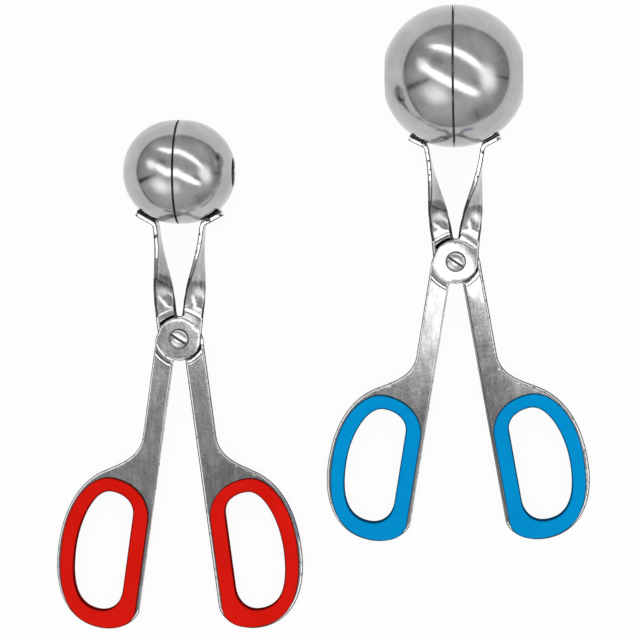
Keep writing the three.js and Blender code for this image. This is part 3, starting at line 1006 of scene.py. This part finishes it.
class Value:
    """An output in a node tree, with arithmetic."""

    def __init__(self, tree, socket):
        self.tree = tree
        self.socket = socket

    def to(self, entry):
        self.tree.links.new(self.socket, entry)

    def math(self, operation, *others):
        node = new_node(self.tree, "Math", operation=operation)
        for entry, value in zip(node.inputs, (self, *others)):
            if isinstance(value, Value):
                value.to(entry)
            else:
                entry.default_value = value
        return Value(self.tree, node.outputs["Value"])

    def __add__(self, other):
        return self.math("ADD", other)

    def __sub__(self, other):
        return self.math("SUBTRACT", other)

    def __mul__(self, other):
        return self.math("MULTIPLY", other)

    def __truediv__(self, other):
        return self.math("DIVIDE", other)

    def step(self, low, high, before=0.0, after=1.0, kind="SMOOTHSTEP"):
        """Goes from one value to another while this one goes from low to high."""
        ends = {"From Min": low, "From Max": high, "To Min": before, "To Max": after}
        node = new_node(self.tree, "MapRange", ends, interpolation_type=kind)
        self.to(node.inputs["Value"])
        return Value(self.tree, node.outputs["Result"])

    def spread(self, before, after):
        """The same in a straight line over the middle of a noise."""
        return self.step(*NOISE_MIDDLE, before, after, "LINEAR")

    def ramp(self, stops):
        """The colour between stops of (position, colour)."""
        node = new_node(self.tree, "ValToRGB")
        elements = node.color_ramp.elements
        while len(elements) < len(stops):
            elements.new(0.5)
        for element, (position, color) in zip(elements, stops):
            element.position = position
            element.color = (*color, 1)
        self.to(node.inputs["Fac"])
        return Value(self.tree, node.outputs["Color"])


def blank_tree(owner, output):
    """The emptied node tree of a material or world, with an output node."""
    owner.use_nodes = True
    tree = owner.node_tree
    tree.nodes.clear()
    return tree, new_node(tree, output)


def axes(tree, kind, output):
    """The three coordinates that a new node of that kind gives."""
    split = new_node(tree, "SeparateXYZ")
    tree.links.new(new_node(tree, kind).outputs[output], split.inputs["Vector"])
    return [Value(tree, split.outputs[axis]) for axis in "XYZ"]


def noise_value(tree, scale, detail, roughness, stretch=(1, 1, 1), turn=0.0, distortion=0.0):
    where = new_node(tree, "TexCoord")
    mapping = new_node(tree, "Mapping", {"Scale": stretch, "Rotation": (0, 0, turn)})
    tree.links.new(where.outputs["Object"], mapping.inputs["Vector"])
    grain = {"Scale": scale, "Detail": detail, "Roughness": roughness, "Distortion": distortion}
    texture = new_node(tree, "TexNoise", grain)
    tree.links.new(mapping.outputs["Vector"], texture.inputs["Vector"])
    return Value(tree, texture.outputs["Fac"])


# Materials.
EDGE_SHADE = 0.22           # share of the plastic's colour that is left on its flanks, which are darkened as painted shade


def node_material(name, metallic=1.0):
    material = bpy.data.materials.new(name)
    tree, output = blank_tree(material, "OutputMaterial")
    shader = new_node(tree, "BsdfPrincipled", {"Metallic": metallic})
    tree.links.new(shader.outputs["BSDF"], output.inputs["Surface"])
    return material, tree, shader


def bumped(tree, shader, layers):
    """Adds bump layers of (height, strength, depth in millimetres)."""
    last = None
    for height, strength, depth in layers:
        bump = new_node(tree, "Bump", {"Strength": strength, "Distance": depth * MM})
        height.to(bump.inputs["Height"])
        if last is not None:
            tree.links.new(last.outputs["Normal"], bump.inputs["Normal"])
        last = bump
    tree.links.new(last.outputs["Normal"], shader.inputs["Normal"])


def grained_steel(name, grain, shade, roughness, relief, span=NOISE_MIDDLE):
    """Steel of which the grey, the shine and the relief follow one noise.

    The shade goes from one to the other over that span of the noise."""
    material, tree, shader = node_material(name)
    grains = noise_value(tree, *grain)
    stops = [(where, (grey,) * 3) for where, grey in zip(span, shade)]
    grains.ramp(stops).to(shader.inputs["Base Color"])
    grains.spread(*roughness).to(shader.inputs["Roughness"])
    bumped(tree, shader, [(grains, *relief)])
    return material


def arm_steel(name, low, high, turn, fade, reach):
    """Tumbled sheet steel: cloudy shine, fine speckle and faint rolling lines.

    Its shade is multiplied by one number towards the balls and by another towards
    the ends of the handles, and goes from one to the other over the reach in Y. The
    darkening towards the handles is painted shade, for the darker room that they reflect."""
    material, tree, shader = node_material(name)
    clouds = noise_value(tree, 260, 6, 0.62, (1, 0.5, 1), turn)
    speckle = noise_value(tree, 1250, 3, 0.65)
    lines = noise_value(tree, 800, 4, 0.6, (1, 0.10, 1), turn)
    shade = clouds.step(*NOISE_MIDDLE, low, high) * speckle.step(0.36, 0.64, 0.90, 1.08)
    shade = shade * lines.step(*NOISE_MIDDLE, 0.86, 1.12)
    # Painted shade: darker towards the handles.
    shade = shade * axes(tree, "TexCoord", "Object")[1].step(*reach, fade[1], fade[0])
    shade.to(shader.inputs["Base Color"])
    speckle.spread(0.09, 0.19).to(shader.inputs["Roughness"])
    bumped(tree, shader, [(clouds, 0.12, 0.02), (speckle, 0.35, 0.006), (lines, 0.22, 0.006)])
    return material


def cup_steel(name):
    """Mirror polished steel with faint drawing marks and smears."""
    material, tree, shader = node_material(name)
    smears = noise_value(tree, 90, 5, 0.6, distortion=0.6)
    fine = noise_value(tree, 1400, 3, 0.6)
    stops = [(0.3, (0.38, 0.38, 0.385)), (0.7, (0.50, 0.50, 0.50))]
    smears.ramp(stops).to(shader.inputs["Base Color"])
    smears.spread(0.10, 0.20).to(shader.inputs["Roughness"])
    bumped(tree, shader, [(smears, 0.60, 0.10), (fine, 0.30, 0.022)])
    return material


def moulded_plastic(name, low, high, tint):
    """Satin plastic with a fine grain, a slow change of shade and painted shade on its flanks."""
    material, tree, shader = node_material(name, metallic=0.0)
    slow = noise_value(tree, 60, 3, 0.5)
    grain = noise_value(tree, 2600, 2, 0.5)
    # Flanks that turn away from the view are darkened and lose their shine: painted shade.
    side = new_node(tree, "LayerWeight", {"Blend": 0.5})
    edge = Value(tree, side.outputs["Facing"]).step(0.09, 0.46, 1.0, EDGE_SHADE)
    deep = new_node(tree, "VectorMath", operation="SCALE")
    slow.ramp([(0.3, low), (0.7, high)]).to(deep.inputs["Vector"])
    edge.to(deep.inputs["Scale"])
    tree.links.new(deep.outputs["Vector"], shader.inputs["Base Color"])
    grain.spread(0.34, 0.46).to(shader.inputs["Roughness"])
    edge.step(EDGE_SHADE, 1.0, 0.0, 0.3).to(shader.inputs["Specular IOR Level"])
    shader.inputs["Specular Tint"].default_value = (*tint, 1)
    bumped(tree, shader, [(grain, 0.10, 0.01), (slow, 0.10, 0.04)])
    return material


# Table, room and lights, in metres.
TABLE = (-1.4, 0.26, -0.30, 1.4)
FLOOR_GLOW = 0.93
# Radiance of the room by its place on a mirror ball seen from above, where the
# middle is overhead and the horizon is at 0.707 of the radius.
ROOM_LEVELS = [(0.0, 0.56), (0.30, 0.60), (0.50, 0.56), (0.62, 0.44), (0.70, 0.34)]
ROOM_NEAR = 0.20            # how much paler the room is towards the handles' side
# Soft pale and dark places: middle, half length, half width, turn in degrees, lift.
SPOTS = [
    (-0.22, -0.29, 0.28, 0.19, -25, 1.05),
    (0.46, -0.07, 0.27, 0.17, -75, 1.4),
    (-0.40, 0.12, 0.15, 0.11, -60, 1.5),
    (0.40, 0.40, 0.35, 0.18, -45, 0.18),
    (-0.20, 0.42, 0.30, 0.14, -15, 0.30),
    (-0.18, 0.17, 0.16, 0.09, -25, -0.30),
    (0.30, -0.15, 0.14, 0.08, -35, -0.28),
    (0.35, -0.52, 0.30, 0.16, 30, -0.20),
]
# Dark uprights of the room: direction in degrees, inner end, half width at the outer end.
POLES = [(195.5, 0.29, 0.050), (-3.0, 0.53, 0.017), (-62.0, 0.50, 0.008)]
POLE_DEPTH = 0.97           # share of the room's radiance that they take away
WALL_FAR = 0.09             # height of direction where the white table or its backdrop ends
WALL_NEAR = -0.13
WALL_EDGE = 0.012
DUSK_NEAR = 0.105           # height over which the room gets its full radiance
DUSK_FAR = 0.035
DUSK_LEVEL = 0.06
STRIP_HEIGHT = 0.61
STRIP_LENGTH = 1.7
STRIP_WIDTH = 0.21
STRIP_CORE = 0.030          # half width of the full radiance, which then falls to the edge
STRIP_FADE = 0.50           # length over which its ends fade
STRIP_RADIANCE = 2.45
STRIP_SLOPE = -0.57         # metres towards the handles for each metre to the right
STRIPS = [(0.048, 0.482), (0.048, -0.106)]


def seen_by_eye(tree):
    """1 for camera, glossy and transmission rays."""
    path = new_node(tree, "LightPath")
    kinds = ("Camera", "Glossy", "Transmission")
    camera, glossy, through = (Value(tree, path.outputs[f"Is {kind} Ray"]) for kind in kinds)
    return camera.math("MAXIMUM", glossy).math("MAXIMUM", through)


def build_floor():
    """White table. Its own white shows to the eye, with the object's shadow on it."""
    mesh = bpy.data.meshes.new("floor")
    left, right, low, high = TABLE
    corners = [(left, low, 0), (right, low, 0), (right, high, 0), (left, high, 0)]
    mesh.from_pydata(corners, [], [(0, 1, 2, 3)])
    floor = placed("floor", mesh)
    floor.location.z = -0.0002
    material = bpy.data.materials.new("white_table")
    tree, output = blank_tree(material, "OutputMaterial")
    diffuse = new_node(tree, "BsdfDiffuse", {"Color": (0.9, 0.9, 0.9, 1)})
    glow = new_node(tree, "Emission")
    mix = new_node(tree, "MixShader")
    (seen_by_eye(tree) * FLOOR_GLOW).to(mix.inputs["Fac"])
    tree.links.new(diffuse.outputs["BSDF"], mix.inputs[1])
    tree.links.new(glow.outputs["Emission"], mix.inputs[2])
    tree.links.new(mix.outputs["Shader"], output.inputs["Surface"])
    mesh.materials.append(material)


def build_world():
    """White to the eye. Everything else sees a grey room with pale and dark places."""
    world = bpy.data.worlds.new("room")
    bpy.context.scene.world = world
    tree, output = blank_tree(world, "OutputWorld")
    background = new_node(tree, "Background")
    x, y, z = axes(tree, "TexCoord", "Generated")
    half = ((z + 1.0001) * 2).math("SQRT")
    u, v = x / half, y / half
    radius = (u * u + v * v).math("SQRT")
    room = radius.ramp([(place, (level,) * 3) for place, level in ROOM_LEVELS])
    room = room + v.step(-0.6, 0.1, ROOM_NEAR, 0.0)
    for across, up, length, width, degrees, lift in SPOTS:
        turn = math.radians(degrees)
        du, dv = u - across, v - up
        far = (du * (math.cos(turn) / length) + dv * (math.sin(turn) / length)).math("POWER", 2)
        off = (du * (math.sin(turn) / width) - dv * (math.cos(turn) / width)).math("POWER", 2)
        room = room + (far + off).math("SQRT").step(0.15, 1.0, lift, 0.0)
    for azimuth, start, width in POLES:
        turn = math.radians(azimuth)
        along = u * math.cos(turn) + v * math.sin(turn)
        off = (u * math.sin(turn) - v * math.cos(turn)).math("ABSOLUTE")
        grown = along.step(start, 0.70, width * 0.3, width)
        line = (off / grown).step(0.5, 1.3, 1.0, 0.0) * along.step(start, start + 0.04)
        room = room * (line * -POLE_DEPTH + 1)
    wall = (u * 0.7 - v * 0.7).step(-0.3, 0.3, WALL_FAR, WALL_NEAR)
    dusk = (u * 0.8 + v * 0.6).step(-0.45, 0.1, DUSK_NEAR, DUSK_FAR)
    room = room * ((z - wall) / dusk).step(0.0, 1.0, DUSK_LEVEL, 1.0)
    white = (z - wall).step(-WALL_EDGE, 0.0, 1.0, 0.0)
    room = room * (white * -1 + 1) + white
    eye = Value(tree, new_node(tree, "LightPath").outputs["Is Camera Ray"])
    (room * (eye * -1 + 1) + eye).to(background.inputs["Color"])
    tree.links.new(background.outputs["Background"], output.inputs["Surface"])


def build_lights():
    """Two long soft strips overhead, on both sides of the camera."""
    for k, (x, y) in enumerate(STRIPS):
        light = bpy.data.lights.new(f"strip_{k}", "AREA")
        light.shape = "RECTANGLE"
        light.size = STRIP_LENGTH
        light.size_y = STRIP_WIDTH
        light.energy = STRIP_RADIANCE * math.pi * STRIP_LENGTH * STRIP_WIDTH
        light.use_nodes = True
        tree = light.node_tree
        where = axes(tree, "NewGeometry", "Parametric")
        along = ((where[0] - 0.5) * STRIP_LENGTH).math("ABSOLUTE")
        across = ((where[1] - 0.5) * STRIP_WIDTH).math("ABSOLUTE")
        fall = across.step(STRIP_CORE, STRIP_WIDTH / 2, 1.0, 0.0)
        fall = fall * along.step(STRIP_LENGTH / 2 - STRIP_FADE, STRIP_LENGTH / 2, 1.0, 0.0)
        fall.to(tree.nodes["Emission"].inputs["Strength"])
        lamp = placed(f"strip_{k}", light)
        lamp.location = (x, y, STRIP_HEIGHT)
        lamp.rotation_euler = (0, 0, math.atan(STRIP_SLOPE))
        lamp.visible_camera = False


def dress(obj, *materials):
    indices = [face.material_index for face in obj.data.polygons]
    obj.data.materials.clear()
    for material in materials:
        obj.data.materials.append(material)
    obj.data.polygons.foreach_set("material_index", indices)


build_floor()
build_world()
build_lights()

cups = cup_steel("polished_cup_steel")
# Grained steels: noise, greys, roughness, and strength and depth of the relief.
turned = (900, 3, 0.5), (0.38, 0.62), (0.12, 0.22), (0.12, 0.01)
pivots = grained_steel("turned_pivot_steel", *turned)
# The rough wall that the punch leaves round a stamping, made near black as painted shade.
# It also paints the shade of the cups' seam, of the screw's slot and of the gap under its head.
walls_and_shade = grained_steel("sheared_shaded_steel", (1300, 4, 0.7), (0.02, 0.12), (0.45, 0.3), (0.5, 0.03))
# The bright flanks that tumbling leaves along the edges, brightened further as painted
# highlight, with nicks: faint ones, and dark ones. The same bright steel paints the
# highlights across the step.
tumbled = (700, 3, 0.6), (0.3, 0.16), (0.15, 0.01)
flanks = grained_steel("burnished_highlight_steel", tumbled[0], (0.30, 0.93), *tumbled[1:], (0.34, 0.46))
nicked = grained_steel("nicked_steel", tumbled[0], (0.03, 0.93), *tumbled[1:], (0.38, 0.44))
# Near-black steel: painted shade in the bends of the step and on the tab's underside
# beside the cup.
shade_paint = grained_steel("painted_shade_steel", (600, 4, 0.6), (0.004, 0.02), (0.3, 0.18), (0.2, 0.01))
BLUE = (0.0005, 0.232, 0.541), (0.0008, 0.268, 0.602), (0.02, 0.5, 1.0)
RED = (0.59, 0.006, 0.003), (0.67, 0.009, 0.005), (1.0, 0.08, 0.04)
plastics = {
    "blue_plastic": moulded_plastic("blue_plastic", *BLUE),
    "red_plastic": moulded_plastic("red_plastic", *RED),
}
# Shades of each arm's steel: low, high, factors towards ball and handle, reach in Y.
# The factors towards the handle darken it as painted shade.
SHADES = {
    "large_front": (0.35, 0.51, (1.06, 0.57), (-0.034, -0.008)),
    "large_back": (0.34, 0.50, (1.0, 0.53), (-0.035, 0.006)),
    "small_front": (0.30, 0.46, (1.08, 0.66), (-0.075, -0.012)),
    "small_back": (0.30, 0.46, (1.0, 0.55), (-0.075, -0.012)),
}
for tongs in (LARGE, SMALL):
    for side, cup_side, grip_side in (("front", "right", "left"), ("back", "left", "right")):
        lean = math.radians(tongs["shank_angle"]) * (1 if side == "front" else -1)
        low, high, fade, reach = SHADES[f"{tongs['name']}_{side}"]
        steel = arm_steel(f"{tongs['name']}_{side}_steel", low, high, lean, fade, reach)
        dress(build_arm(tongs, side), steel, walls_and_shade, flanks, shade_paint, nicked)
        dress(build_cup(tongs, side, cup_side), cups, walls_and_shade)
        dress(build_grip(tongs, side, grip_side), plastics[tongs["grip_slot"]])
    dress(build_screw(tongs), pivots, walls_and_shade)
    dress(build_nut(tongs), pivots)
    dress(build_washer(tongs), pivots)

bpy.context.scene.view_settings.view_transform = "Standard"
